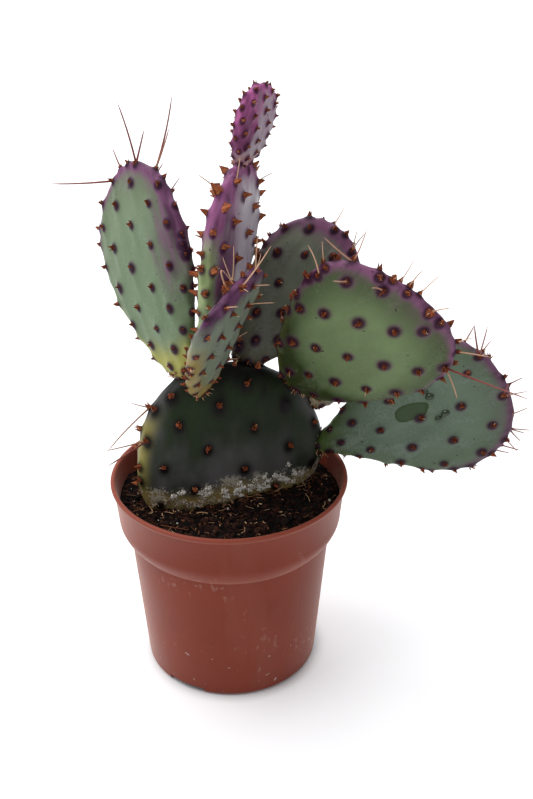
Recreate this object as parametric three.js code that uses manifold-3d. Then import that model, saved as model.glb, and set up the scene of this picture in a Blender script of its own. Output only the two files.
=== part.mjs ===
// A potted paddle cactus: a plastic nursery pot, its soil, and a plant of nine flat pads.
// Millimetres, +Z up, origin at the middle of the pot's underside. The camera side is -Y.
import * as THREE from 'three';
import { mergeVertices } from 'three/addons/utils/BufferGeometryUtils.js';
import Module from 'manifold-3d';

const wasm = await Module();
wasm.setup();

// Clearance that two touching pieces keep.
const GAP = 0.3;

// The pot: a 12 cm nursery pot. Radii are of the outer face; the wall is measured inwards.
const POT = {
  height: 107, lipRadius: 60, lipBottom: 104.8, lipEdge: 0.8, bandTopRadius: 58.3, bandTop: 103.4,
  bandBottomRadius: 56.8, bandBottom: 87, bodyTopRadius: 51.2, shoulderBottom: 75.6,
  baseRadius: 45.1, baseEdge: 2.6, wall: 1.5, floor: 2, sides: 36, curveSteps: 3,
};
// Three drain slots cut through the corner between the floor and the wall.
const SLOT = { count: 3, width: 21, height: 3.2, depth: 9, firstBearing: 239 };

// The soil's surface lies below the lip and is uneven by a few millimetres.
const SOIL = { surface: 96, relief: 1.3, foot: 2.4, sides: 36, rings: 3 };

// An areole carries a pointed tuft of barbed bristles; some carry spines too.
const TUFT = { radius: 1.9, height: 3.6, sunk: 1.2, lean: 0.25, sides: 3 };
const SPINE = { rootRadius: 0.5, tipRadius: 0.14, sunk: 1.6, sides: 3 };
// Room that a tuft or a spine keeps from every other pad, and from the soil.
const CLEAR = 4.6;

// How full a pad's cross-section is: 1 is an ellipse, less is flatter with a rounder rim.
const FULLNESS = 0.75;
const PAD_DETAIL = 3;
const NECK_DETAIL = 2;

// The pads. base is where the pad grows from its parent; azimuth and elevation point its long
// axis, and roll turns its face about that axis, from facing the camera side. taper widens the
// upper end, bow and cup bend it sideways and across its face, and square fills its corners.
// The areoles follow a spiral: turn is the angle from one to the next, start that of the first.
// More stand close together along the rim round the tip: rim of them, numbered after the rest.
// Each spine names its areole by number, then its own reach sideways, upwards and outwards.
const PADS = [
  {
    name: 'pad_base', base: [-3.8, 4.3, 71.5], azimuth: 90, elevation: 87.5, roll: 17.7,
    length: 93.4, width: 97, thickness: 28, taper: -0.1, cup: 0, bow: 4.9, square: 0.03,
    areoles: 56, turn: -137.85, start: 72, rim: 0, color: 0x3d4a3a,
    spines: [[43, -25, -12, 17], [35, -22, 4, 12], [43, -10, 5, 2], [48, -8, 9, 8]],
  },
  {
    name: 'pad_left', parent: 'pad_base', base: [-21.1, 1.3, 159.2],
    azimuth: 122.5, elevation: 63, roll: -36.3,
    length: 107.3, width: 56.2, thickness: 14, taper: 0.33, cup: -0.75, bow: -4.1, square: -0.03,
    areoles: 72, turn: -137.65, start: 321, rim: 18, color: 0x6f8c68,
    spines: [[70, 13, 26, 14], [70, 15, 12, 4], [67, 14, 31, -9], [67, 10, 17, -6], [68, -22, 6, 20]],
  },
  {
    name: 'pad_middle', parent: 'pad_base', base: [-7.6, 8.1, 163.7],
    azimuth: 32, elevation: 79.6, roll: 67,
    length: 100.5, width: 49.3, thickness: 15, taper: 0.27, cup: 0.3, bow: -0.4, square: 0,
    areoles: 74, turn: 137.2, start: 342, rim: 16, color: 0x94789a,
    spines: [[65, -10, 7, -7], [66, 2, 6, 7]],
  },
  {
    name: 'pad_top', parent: 'pad_middle', base: [6.4, 17.1, 259.4],
    azimuth: 26.4, elevation: 70, roll: 62.3,
    length: 39.3, width: 30.7, thickness: 10, taper: 0.37, cup: 0, bow: 0, square: 0,
    areoles: 60, turn: -137.05, start: 129, rim: 12, color: 0x9c5f8c,
    spines: [],
  },
  {
    name: 'pad_front', parent: 'pad_base', base: [-12.1, -6.3, 156.6],
    azimuth: -56.3, elevation: 62.5, roll: 65.7,
    length: 75.4, width: 47.3, thickness: 11, taper: 0.45, cup: 0.9, bow: -1.7, square: 0.08,
    areoles: 60, turn: 136.25, start: 234, rim: 18, color: 0x74876f,
    spines: [[47, 6, 19, -8], [59, 4, 26, 5], [57, 2, 16, -5], [54, 1, 5, 7], [41, 4, 7, 14]],
  },
  {
    name: 'pad_back', parent: 'pad_base', base: [4.9, 15.9, 159.6],
    azimuth: 26, elevation: 48.9, roll: -22,
    length: 84.2, width: 46.4, thickness: 13, taper: 0.39, cup: 0, bow: -0.6, square: 0.03,
    areoles: 60, turn: -138.05, start: 81, rim: 20, color: 0x5f6f5c,
    spines: [[55, -3, 9, 10], [55, 1, 10, 10]],
  },
  {
    name: 'pad_right', parent: 'pad_base', base: [32.7, 14.1, 148.3],
    azimuth: -50, elevation: 45.6, roll: -5.3,
    length: 105, width: 71.4, thickness: 14, taper: 0.39, cup: -1.7, bow: 3, square: 0.05,
    areoles: 63, turn: -139.4, start: 279, rim: 24, color: 0x6c8256,
    spines: [[49, -14, 18, 6], [57, -17, 5, 3], [57, -4, 12, -9], [54, -8, 8, 12], [59, -8, 9, 11],
      [48, 32, 26, 10], [48, 8, 6, 16], [61, 2, 16, 6], [53, 11, 12, 2]],
  },
  {
    name: 'pad_low_right', parent: 'pad_base', base: [42.2, 16.2, 111.2],
    azimuth: -2.2, elevation: 19.2, roll: -17.3,
    length: 105.2, width: 61.4, thickness: 13, taper: 0.7, cup: 0.24, bow: -5.3, square: -0.05,
    areoles: 65, turn: 138.25, start: 69, rim: 24, color: 0x5d7a62,
    spines: [[59, -18, 2, 14], [62, -2, 9, 11], [60, 5, 9, 2], [60, 7, 4, 3]],
  },
  {
    name: 'pad_behind', parent: 'pad_base', base: [40.3, 18.4, 135.4],
    azimuth: 40, elevation: 48, roll: 0,
    length: 46, width: 32, thickness: 9, taper: 0.26, cup: 0, bow: 0, square: 0,
    areoles: 44, turn: 137.5, start: 0, rim: 10, color: 0x6b7d62,
    spines: [],
  },
];
// Where a pad joins its parent it narrows to a neck: half sizes as shares of the pad's own.
const NECK = { width: 0.13, length: 0.14, thickness: 0.34 };
// The rim's areoles reach this far round from the tip, in degrees, a little to either side of
// the middle of the rim, and keep some room from those of the spiral.
const RIM = { reach: 118, jitter: 7, aside: 0.14, room: 4.2 };
// Upper areoles of the large pads on the unseen side carry short spines as well.
const RIM_SPINE = { above: 0.62, share: 0.35, shortest: 8, longest: 16, leastWidth: 35 };

const FINISH = {
  pot: { color: 0x9a4a38, roughness: 0.55, metalness: 0 },
  soil: { color: 0x241a14, roughness: 1, metalness: 0 },
  pad: { roughness: 0.6, metalness: 0 },
};

// ---- Solids ----

function solidOf(geometry) {
  geometry.deleteAttribute('normal');
  geometry.deleteAttribute('uv');
  const merged = mergeVertices(geometry, 1e-4);
  return new wasm.Manifold(new wasm.Mesh({
    numProp: 3,
    vertProperties: new Float32Array(merged.attributes.position.array),
    triVerts: new Uint32Array(merged.index.array),
  }));
}

function largestPart(solid) {
  return solid.decompose().reduce((best, part) => (part.volume() > best.volume() ? part : best));
}

// A named mesh whose geometry is in its own frame, set in place by that frame's matrix.
function meshOf(name, solid, finish, placement = new THREE.Matrix4()) {
  const cut = solid.getMesh();
  const geometry = new THREE.BufferGeometry();
  geometry.setAttribute('position', new THREE.BufferAttribute(cut.vertProperties, 3));
  geometry.setIndex(new THREE.BufferAttribute(cut.triVerts, 1));
  geometry.applyMatrix4(placement.clone().invert());
  const mesh = new THREE.Mesh(geometry, new THREE.MeshStandardMaterial(finish));
  mesh.name = name;
  mesh.applyMatrix4(placement);
  return mesh;
}

function turned(profile, sides) {
  const geometry = new THREE.LatheGeometry(profile, sides);
  return geometry.rotateX(Math.PI / 2);
}

// A number from 0 to 1 that is fixed by its seed.
function draw(seed) {
  const value = Math.sin(seed * 12.9898) * 43758.5453;
  return value - Math.floor(value);
}

// ---- The pot ----

function outerWall(inset) {
  const points = [];
  const edge = POT.baseEdge;
  for (let step = 0; step <= POT.curveSteps; step += 1) {
    const angle = (step / POT.curveSteps) * Math.PI / 2;
    const radius = POT.baseRadius - edge + edge * Math.sin(angle);
    points.push([radius - inset, edge - edge * Math.cos(angle)]);
  }
  // The band rounds under at its foot and meets the body in a crease.
  const run = POT.bandBottom - POT.shoulderBottom;
  for (let step = 0; step <= POT.curveSteps; step += 1) {
    const t = step / POT.curveSteps;
    const swell = 1 - (1 - t) ** 2;
    const radius = POT.bodyTopRadius + (POT.bandBottomRadius - POT.bodyTopRadius) * swell;
    points.push([radius - inset, POT.shoulderBottom + run * t]);
  }
  return points;
}

function makePot() {
  const outside = [
    [0, 0], ...outerWall(0), [POT.bandTopRadius, POT.bandTop], [POT.lipRadius, POT.lipBottom],
    [POT.lipRadius, POT.height - POT.lipEdge], [POT.lipRadius - POT.lipEdge, POT.height],
  ];
  const inside = [
    [POT.bandTopRadius - POT.lipEdge, POT.height],
    [POT.bandTopRadius - POT.wall, POT.bandTop],
    ...outerWall(POT.wall).slice(1).reverse().filter(([, z]) => z > POT.floor + GAP),
    [POT.baseRadius - POT.wall - POT.lipEdge, POT.floor], [0, POT.floor],
  ];
  const profile = [...outside, ...inside].map(([r, z]) => new THREE.Vector2(r, z));
  let pot = solidOf(turned(profile, POT.sides));
  for (let index = 0; index < SLOT.count; index += 1) {
    const bearing = THREE.MathUtils.degToRad(SLOT.firstBearing + (360 / SLOT.count) * index);
    const slot = new THREE.BoxGeometry(SLOT.depth * 2, SLOT.width, SLOT.height * 2);
    slot.translate(POT.baseRadius, 0, 0);
    slot.rotateZ(bearing);
    pot = pot.subtract(solidOf(slot));
  }
  return pot;
}

// ---- The soil ----

function soilHeight(x, y) {
  const long = Math.sin(x / 9 + 1.3) * Math.cos(y / 8 - 0.6);
  const short = 0.5 * Math.sin(x / 3.7 + y / 4.9);
  return SOIL.surface + SOIL.relief * (long + short);
}

function makeSoil() {
  const inset = POT.wall + GAP;
  const upBand = (SOIL.surface - POT.bandBottom) / (POT.bandTop - POT.bandBottom);
  const flare = (POT.bandTopRadius - POT.bandBottomRadius) * upBand;
  const wallTop = POT.bandBottomRadius + flare - inset;
  const sides = [
    [0, POT.floor + GAP], [POT.baseRadius - inset - SOIL.foot, POT.floor + GAP],
    ...outerWall(inset).slice(POT.curveSteps), [wallTop, SOIL.surface],
  ];
  const top = [];
  for (let ring = SOIL.rings - 1; ring >= 0; ring -= 1) {
    top.push([(wallTop * ring) / SOIL.rings, SOIL.surface]);
  }
  const profile = [...sides, ...top].map(([r, z]) => new THREE.Vector2(r, z));
  const geometry = turned(profile, SOIL.sides);
  const spots = geometry.attributes.position;
  for (let index = 0; index < spots.count; index += 1) {
    if (spots.getZ(index) > SOIL.surface - 0.01) {
      spots.setZ(index, soilHeight(spots.getX(index), spots.getY(index)));
    }
  }
  return solidOf(geometry);
}

// ---- The pads ----

// The pad's own frame: x across its face, y along it from the base, z out of its face.
function padPlacement(pad) {
  const azimuth = THREE.MathUtils.degToRad(pad.azimuth);
  const elevation = THREE.MathUtils.degToRad(pad.elevation);
  const roll = THREE.MathUtils.degToRad(pad.roll);
  const along = new THREE.Vector3(
    Math.cos(elevation) * Math.cos(azimuth),
    Math.cos(elevation) * Math.sin(azimuth),
    Math.sin(elevation),
  );
  const facing = new THREE.Vector3(0, -1, 0);
  facing.addScaledVector(along, -facing.dot(along)).normalize();
  const aside = new THREE.Vector3().crossVectors(along, facing);
  const out = facing.multiplyScalar(Math.cos(roll)).addScaledVector(aside, Math.sin(roll));
  const across = new THREE.Vector3().crossVectors(along, out);
  return new THREE.Matrix4().makeBasis(across, along, out).setPosition(...pad.base);
}

// A point of the unit sphere carried onto the pad's skin, swollen by grow.
function onPad(pad, point, grow = 0) {
  const flat = point.x * point.x + point.y * point.y;
  const fill = 1 + (pad.square * (2 * point.x * point.y) ** 2) / Math.max(flat, 1e-9);
  const along = point.y * fill;
  const bend = 1 - along * along;
  const halfWidth = (pad.width / 2) * (1 + pad.taper * along) + grow;
  const halfThickness = pad.thickness / 2 + grow;
  return new THREE.Vector3(
    halfWidth * point.x * fill + pad.bow * bend,
    pad.length / 2 + (pad.length / 2 + grow) * along,
    halfThickness * Math.sign(point.z) * Math.abs(point.z) ** FULLNESS - pad.cup * bend,
  );
}

// Whether a place lies in the pad, or in its neck, when that is swollen by grow.
function inPad(pad, place, grow) {
  const fromBase = place.distanceTo(new THREE.Vector3(...pad.base));
  if (pad.parent && fromBase < NECK.length * pad.width + grow) return true;
  const local = place.clone().applyMatrix4(pad.placement.clone().invert());
  const along = (local.y - pad.length / 2) / (pad.length / 2 + grow);
  const bend = 1 - along * along;
  const halfWidth = (pad.width / 2) * (1 + pad.taper * along) + grow;
  const x = (local.x - pad.bow * bend) / halfWidth;
  const z = Math.abs(local.z + pad.cup * bend) / (pad.thickness / 2 + grow);
  return Math.abs(along) < 1 && x * x + along * along + z ** (2 / FULLNESS) < 1;
}

function padBody(pad, grow = 0) {
  const geometry = mergeVertices(new THREE.IcosahedronGeometry(1, PAD_DETAIL).deleteAttribute('uv')
    .deleteAttribute('normal'), 1e-4);
  const spots = geometry.attributes.position;
  for (let index = 0; index < spots.count; index += 1) {
    const point = new THREE.Vector3().fromBufferAttribute(spots, index).normalize();
    const place = onPad(pad, point, grow);
    spots.setXYZ(index, place.x, place.y, place.z);
  }
  return solidOf(geometry.applyMatrix4(pad.placement));
}

function padNeck(pad) {
  const neck = new THREE.IcosahedronGeometry(1, NECK_DETAIL);
  neck.scale(NECK.width * pad.width, NECK.length * pad.width, NECK.thickness * pad.thickness);
  return solidOf(neck.applyMatrix4(pad.placement));
}

// Where areole number index stands on the unit sphere: in the spiral, or after it on the rim.
function areolePoint(pad, index) {
  if (index < pad.areoles) {
    const along = (2 * index + 1) / pad.areoles - 1;
    const round = Math.sqrt(1 - along * along);
    const angle = THREE.MathUtils.degToRad(pad.start + pad.turn * index);
    return new THREE.Vector3(round * Math.sin(angle), along, round * Math.cos(angle));
  }
  const step = index - pad.areoles;
  const evenly = RIM.reach * ((2 * step + 1) / pad.rim - 1);
  const angle = THREE.MathUtils.degToRad(evenly + RIM.jitter * (2 * draw(index) - 1));
  const aside = step % 2 ? RIM.aside : -RIM.aside;
  return new THREE.Vector3(Math.sin(angle), Math.cos(angle), aside).normalize();
}

// An areole's root on the skin and the way its tuft points, in the pad's frame.
function areole(pad, index) {
  const point = areolePoint(pad, index);
  const outward = new THREE.Vector3(
    point.x / pad.width,
    point.y / pad.length,
    point.z / pad.thickness,
  ).normalize();
  return { index, root: onPad(pad, point), outward, along: point.y };
}

function areolesOf(pad) {
  const spiral = Array.from({ length: pad.areoles }, (_, index) => areole(pad, index));
  const rim = Array.from({ length: pad.rim }, (_, step) => areole(pad, pad.areoles + step));
  const apart = ({ root }) => spiral.every((other) => other.root.distanceTo(root) > RIM.room);
  return [...spiral, ...rim.filter(apart)];
}

// A tapered spike from a root, along a direction, with its foot sunk below the root.
function spike(root, direction, length, sunk, rootRadius, tipRadius, sides) {
  const shape = new THREE.CylinderGeometry(tipRadius, rootRadius, length + sunk, sides);
  shape.translate(0, (length - sunk) / 2, 0);
  const turn = new THREE.Quaternion().setFromUnitVectors(new THREE.Vector3(0, 1, 0), direction);
  return shape.applyQuaternion(turn).translate(root.x, root.y, root.z);
}

// Whether every point of a stretch from the root keeps clear of the other pads and the soil.
function isClear(pad, root, reach) {
  for (let step = 0.25; step <= 1; step += 0.25) {
    const place = root.clone().addScaledVector(reach, step).applyMatrix4(pad.placement);
    const overSoil = Math.hypot(place.x, place.y) < POT.lipRadius + 1;
    if (overSoil && place.z < SOIL.surface + CLEAR) return false;
    const touched = PADS.some((other) => other !== pad && inPad(other, place, CLEAR));
    if (touched) return false;
  }
  return true;
}

function tufts(pad) {
  const shapes = [];
  for (const { index, root, outward } of areolesOf(pad)) {
    const direction = outward.clone().add(new THREE.Vector3(0, TUFT.lean, 0)).normalize();
    const height = TUFT.height * (0.85 + 0.3 * draw(index + pad.start));
    if (isClear(pad, root, direction.clone().multiplyScalar(height))) {
      shapes.push(spike(root, direction, height, TUFT.sunk, TUFT.radius, 0, TUFT.sides));
    }
  }
  return shapes;
}

function spines(pad) {
  const reaches = pad.spines.map(([index, ...reach]) => ({ index, reach }));
  for (const { index, root, outward, along } of areolesOf(pad)) {
    const hidden = outward.clone().transformDirection(pad.placement).y > 0.2;
    const upper = along > RIM_SPINE.above && pad.width > RIM_SPINE.leastWidth;
    if (upper && hidden && draw(index * 1.7 + pad.start) < RIM_SPINE.share) {
      const spread = RIM_SPINE.longest - RIM_SPINE.shortest;
      const length = RIM_SPINE.shortest + spread * draw(index * 2.3 + pad.start);
      const way = outward.clone().add(new THREE.Vector3(root.x / pad.width, 0.8, 0));
      reaches.push({ index, reach: way.normalize().multiplyScalar(length).toArray() });
    }
  }
  return reaches
    .map(({ index, reach }) => ({ root: areole(pad, index).root, reach: new THREE.Vector3(...reach) }))
    .filter(({ root, reach }) => isClear(pad, root, reach))
    .map(({ root, reach }) => {
      const { rootRadius, tipRadius, sunk, sides } = SPINE;
      const length = reach.length();
      return spike(root, reach.normalize(), length, sunk, rootRadius, tipRadius, sides);
    });
}

function makePad(pad) {
  let solid = padBody(pad);
  if (pad.parent) {
    const parent = PADS.find((other) => other.name === pad.parent);
    solid = solid.add(padNeck(pad)).subtract(padBody(parent, GAP));
  }
  const grown = [...tufts(pad), ...spines(pad)]
    .map((shape) => solidOf(shape.applyMatrix4(pad.placement)));
  return largestPart(grown.reduce((whole, shape) => whole.add(shape), solid));
}

// ---- The whole plant in its pot ----

for (const pad of PADS) pad.placement = padPlacement(pad);

const cactus = new THREE.Group();
cactus.add(meshOf('pot', makePot(), FINISH.pot));
cactus.add(meshOf('soil', largestPart(makeSoil().subtract(padBody(PADS[0], GAP))), FINISH.soil));
for (const pad of PADS) {
  cactus.add(meshOf(pad.name, makePad(pad), { ...FINISH.pad, color: pad.color }, pad.placement));
}

export default cactus;
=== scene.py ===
"""A potted paddle cactus: purple-flushed pads with tufts and spines, in a plastic nursery pot."""
import math
import random
from types import SimpleNamespace

import bmesh
import bpy
import numpy as np
from mathutils import Matrix, Vector, noise


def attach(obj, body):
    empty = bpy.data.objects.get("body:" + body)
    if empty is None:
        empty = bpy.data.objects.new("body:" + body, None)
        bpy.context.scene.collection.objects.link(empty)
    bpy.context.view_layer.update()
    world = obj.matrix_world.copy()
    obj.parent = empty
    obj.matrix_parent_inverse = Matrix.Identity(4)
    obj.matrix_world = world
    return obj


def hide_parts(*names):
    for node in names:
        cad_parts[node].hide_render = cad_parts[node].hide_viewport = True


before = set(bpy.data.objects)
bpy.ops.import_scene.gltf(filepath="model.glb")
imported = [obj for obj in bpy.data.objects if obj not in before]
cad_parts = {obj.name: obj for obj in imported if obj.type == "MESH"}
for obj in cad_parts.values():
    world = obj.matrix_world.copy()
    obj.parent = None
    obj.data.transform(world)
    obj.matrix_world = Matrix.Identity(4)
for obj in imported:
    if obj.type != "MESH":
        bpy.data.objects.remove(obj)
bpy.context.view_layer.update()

# ---- The camera, the floor and the light ----------------------------------------------------
# The plant stands on a plain white table that glows a little, except under and just round the
# pot, where the glow is cut off as a painted shadow. A broad softbox hangs above its left, and
# another lights the table behind it. The camera looks down on it at 27.5 degrees.
MM = 0.001
CAMERA_PLACE = Vector((18.84, -482.06, 400.32)) * MM
LOOKING_DOWN = math.radians(27.54)
FLOOR_HALF = 5.0
FLOOR_WHITE = (0.86, 0.865, 0.88, 1)
FLOOR_GLOW = 0.27
# Radii in metres where the painted shadow under the pot ends and the glow is full.
PAINTED_SHADOW_EDGE = (0.043, 0.052)
SKY_WHITE = (0.97, 0.98, 1.0, 1)
SKY_STRENGTH = 0.46


class Tone:
    """A shader socket that takes part in arithmetic: each operator adds one Math node."""

    def __init__(self, finish, socket):
        self.finish = finish
        self.socket = socket

    def math(self, operation, first, second):
        return self.finish.node("Math", {"operation": operation}, {0: first, 1: second})

    def __add__(self, other):
        return self.math("ADD", self, other)

    def __sub__(self, other):
        return self.math("SUBTRACT", self, other)

    def __rsub__(self, other):
        return self.math("SUBTRACT", other, self)

    def __mul__(self, other):
        return self.math("MULTIPLY", self, other)

    def __pow__(self, other):
        return self.math("POWER", self, other)

    __radd__ = __add__
    __rmul__ = __mul__


class Finish:
    """A material under construction: it adds nodes and sets the sockets of one shader."""

    def __init__(self, name):
        self.material = bpy.data.materials.new(name)
        self.material.use_nodes = True
        self.tree = self.material.node_tree
        self.shader = self.tree.nodes["Principled BSDF"]

    def node(self, kind, settings=None, values=None, output=0):
        """A node of a kind: first its settings, then the values or links of its sockets."""
        made = self.tree.nodes.new("ShaderNode" + kind)
        for key, value in (settings or {}).items():
            setattr(made, key, value)
        for key, value in (values or {}).items():
            if isinstance(value, Tone):
                self.tree.links.new(value.socket, made.inputs[key])
            else:
                made.inputs[key].default_value = value
        return Tone(self, made.outputs[output])

    def place(self):
        return self.node("TexCoord", output="Object")

    def attribute(self, name, output="Fac"):
        return self.node("Attribute", {"attribute_name": name}, output=output)

    def parts(self, vector):
        return [self.node("SeparateXYZ", values={0: vector}, output=axis) for axis in range(3)]

    def noise(self, where, scale, detail, stretch=(1, 1, 1)):
        spot = self.node("Mapping", values={"Vector": where, "Scale": stretch})
        return self.node("TexNoise", values={"Vector": spot, "Scale": scale, "Detail": detail})

    def between(self, value, low, high):
        """0 where the value is at low, 1 where it is at high, and smooth between."""
        limits = {"Value": value, "From Min": low, "From Max": high}
        return self.node("MapRange", {"interpolation_type": "SMOOTHSTEP"}, limits)

    def mix(self, mask, first, second):
        """The first colour where the mask is 0, the second where it is 1."""
        first = first if isinstance(first, Tone) else (*first, 1)
        second = second if isinstance(second, Tone) else (*second, 1)
        values = {0: mask, 6: first, 7: second}
        return self.node("Mix", {"data_type": "RGBA"}, values, output=2)

    def bump(self, height, distance):
        self.set({"Normal": self.node("Bump", values={"Height": height, "Distance": distance})})

    def set(self, values):
        """Values or links for the shader's own sockets."""
        for key, value in values.items():
            if isinstance(value, Tone):
                self.tree.links.new(value.socket, self.shader.inputs[key])
            else:
                self.shader.inputs[key].default_value = value

    def matt(self, colour, roughness, gloss):
        self.set({"Base Color": colour, "Roughness": roughness, "Specular IOR Level": gloss})


def scene_object(name, data, material=None):
    made = bpy.data.objects.new(name, data)
    bpy.context.scene.collection.objects.link(made)
    if material:
        data.materials.append(material)
    return made


def mesh_from(bm, name):
    """The finished mesh of a bmesh, which is freed."""
    made = bpy.data.meshes.new(name)
    bm.to_mesh(made)
    bm.free()
    return made


lens = bpy.data.cameras.new("camera")
lens.lens = 50
lens.sensor_width = 36
lens.clip_start = 0.01
camera = scene_object("camera", lens)
camera.location = CAMERA_PLACE
camera.rotation_euler = (math.pi / 2 - LOOKING_DOWN, 0, 0)
bpy.context.scene.camera = camera

floor_finish = Finish("white_floor")
x, y = floor_finish.parts(floor_finish.place())[:2]
# The glow is cut off under the pot and fades in just round its foot: a painted contact shadow.
glow_outside_painted_shadow = floor_finish.between((x * x + y * y) ** 0.5, *PAINTED_SHADOW_EDGE)
floor_finish.set({
    "Base Color": FLOOR_WHITE,
    "Roughness": 0.7,
    "Specular IOR Level": 0.2,
    "Emission Color": floor_finish.mix(glow_outside_painted_shadow, (0, 0, 0), (1, 1, 1)),
    "Emission Strength": FLOOR_GLOW,
})
bm = bmesh.new()
bmesh.ops.create_grid(bm, x_segments=1, y_segments=1, size=FLOOR_HALF)
scene_object("floor", mesh_from(bm, "floor"), floor_finish.material)

sky = bpy.data.worlds.new("sky")
sky.use_nodes = True
sky.node_tree.nodes["Background"].inputs["Color"].default_value = SKY_WHITE
sky.node_tree.nodes["Background"].inputs["Strength"].default_value = SKY_STRENGTH
bpy.context.scene.world = sky
bpy.context.scene.view_settings.view_transform = "Standard"


def softbox(name, place, aim, size, power):
    lamp = bpy.data.lights.new(name, "AREA")
    lamp.size = size
    lamp.energy = power
    box = scene_object(name, lamp)
    box.location = place
    box.rotation_euler = (Vector(aim) - Vector(place)).to_track_quat("-Z", "Y").to_euler()


softbox("light_above_left", place=(-0.75, 0.0, 1.35), aim=(0, 0, 0.15), size=1.2, power=17)
softbox("light_behind", place=(0, 2.2, 2.2), aim=(0, 2.2, 0), size=3, power=60)

# ---- The pot ----------------------------------------------------------------------------------
# A 12 cm nursery pot, injection-moulded in terracotta-coloured plastic: one thin wall with a
# rolled lip, a deep rim band, a shoulder and a tapering body, and three drain slots cut where
# the floor meets the wall.
#
# A pair of sizes is a radius and a height, in millimetres. UNDER_LIP and INNER_EDGE are measured
# from the band's top and from the inner corner of the floor.
POT_HEIGHT = 107.0
LIP_RADIUS = 60.0
LIP_ROLL = 1.15
LIP_ARC = (-30, 178)
LIP_STEPS = 8
UNDER_LIP = ((0.1, 0), (0.5, 0.7))
BAND_TOP = (58.3, 103.4)
BAND_BOTTOM = (56.8, 87.0)
BODY_TOP = (51.2, 75.6)
SHOULDER_STEPS = 12
BASE_RADIUS = 45.1
BASE_EDGE = 2.6
EDGE_STEPS = 6
WALL = 1.5
POT_FLOOR = 2.0
INNER_EDGE = (0.8, 0.4)
POT_SIDES = 192
SLOT_WIDTH = 21.0
SLOT_HEIGHT = 3.2
SLOT_DEPTH = 9.0
SLOT_BEARINGS = (239, 359, 119)
TERRACOTTA = ((0.182, 0.028, 0.0125), (0.205, 0.034, 0.0155))
STREAKED = (0.23, 0.075, 0.052)
LIP_HIGHLIGHT = (0.27, 0.062, 0.038)
DUSTY = (0.5, 0.42, 0.38)
SCUFFED = (0.42, 0.3, 0.25)


def side_of_pot(inset):
    """The wall's line from the floor to the band, moved inwards by inset, as (radius, height)."""
    line = []
    for step in range(EDGE_STEPS + 1):
        turn = math.radians(90 / EDGE_STEPS * step)
        radius = BASE_RADIUS - BASE_EDGE * (1 - math.sin(turn))
        line.append((radius - inset, BASE_EDGE * (1 - math.cos(turn))))
    for step in range(SHOULDER_STEPS + 1):
        up = step / SHOULDER_STEPS
        swell = 1 - (1 - up) ** 2
        radius = BODY_TOP[0] + (BAND_BOTTOM[0] - BODY_TOP[0]) * swell
        line.append((radius - inset, BODY_TOP[1] + (BAND_BOTTOM[1] - BODY_TOP[1]) * up))
    return line


def lip_of_pot():
    """The lip's rolled line from the band's top, over the rim, to the inside."""
    line = [(BAND_TOP[0] + out, BAND_TOP[1] + up) for out, up in UNDER_LIP]
    for step in range(LIP_STEPS + 1):
        turn = math.radians(LIP_ARC[0] + (LIP_ARC[1] - LIP_ARC[0]) / LIP_STEPS * step)
        radius = LIP_RADIUS - LIP_ROLL + LIP_ROLL * math.cos(turn)
        line.append((radius, POT_HEIGHT - LIP_ROLL + LIP_ROLL * math.sin(turn)))
    return line + [(BAND_TOP[0] - WALL, BAND_TOP[1])]


def spun(name, line, sides):
    """A mesh turned round Z from a line of (radius, height) in millimetres."""
    bm = bmesh.new()
    spots = [bm.verts.new((radius * MM, 0, height * MM)) for radius, height in line]
    edges = [bm.edges.new(pair) for pair in zip(spots, spots[1:])]
    bmesh.ops.spin(
        bm, geom=spots + edges, axis=(0, 0, 1), cent=(0, 0, 0), steps=sides,
        angle=2 * math.pi, use_merge=True,
    )
    bmesh.ops.remove_doubles(bm, verts=bm.verts, dist=1e-6)
    bmesh.ops.recalc_face_normals(bm, faces=bm.faces)
    mesh = mesh_from(bm, name)
    mesh.shade_smooth()
    return mesh


def finished(name, mesh, finish, node):
    """The object of a finished mesh: it rides on the one body and takes a CAD node's place."""
    made = scene_object(name, mesh, finish.material)
    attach(made, "root")
    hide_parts(node)
    return made


inner_side = [spot for spot in reversed(side_of_pot(WALL)) if spot[1] > POT_FLOOR + INNER_EDGE[1]]
pot_line = [(0, 0), *side_of_pot(0), *lip_of_pot(), *inner_side]
pot_line += [(BASE_RADIUS - WALL - INNER_EDGE[0], POT_FLOOR), (0, POT_FLOOR)]
pot_mesh = spun("pot", pot_line, POT_SIDES)

pot_finish = Finish("terracotta_plastic")
spot = pot_finish.place()
height = pot_finish.parts(spot)[2]
cloud = pot_finish.between(pot_finish.noise(spot, 28, 4), 0.35, 0.7)
streak = pot_finish.between(pot_finish.noise(spot, 60, 3, (1, 1, 0.18)), 0.5, 0.72)
speck = pot_finish.between(pot_finish.noise(spot, 420, 1), 0.72, 0.77)
dusty_foot = speck * pot_finish.between(height, 0.045, 0.012)
# The top of the rolled lip is painted lighter and more orange: a painted highlight along the rim.
lip_top_highlight = pot_finish.between(height, 0.1045, 0.1062)
rubbed = pot_finish.between(pot_finish.noise(spot, 26, 2), 0.56, 0.68)
scuff = pot_finish.between(pot_finish.noise(spot, 330, 3, (1, 1, 0.6)), 0.56, 0.68)
grain = pot_finish.noise(spot, 900, 2)
plain = pot_finish.mix(cloud, *TERRACOTTA)
plain = pot_finish.mix(streak * 0.25, plain, STREAKED)
plain = pot_finish.mix(lip_top_highlight * 0.8, plain, LIP_HIGHLIGHT)
plain = pot_finish.mix(dusty_foot * 0.6, plain, DUSTY)
plain = pot_finish.mix(rubbed * scuff * 0.22, plain, SCUFFED)
pot_finish.set({
    "Base Color": plain,
    "Roughness": cloud * 0.08 + streak * 0.06 + 0.42,
    "Specular IOR Level": 0.14,
    "Sheen Weight": 0.35,
    "Sheen Roughness": 0.35,
    "Sheen Tint": (1, 0.7, 0.6, 1),
})
pot_finish.bump(grain + cloud * 0.6, 0.00008)
pot = finished("pot_shell", pot_mesh, pot_finish, "pot")

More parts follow.
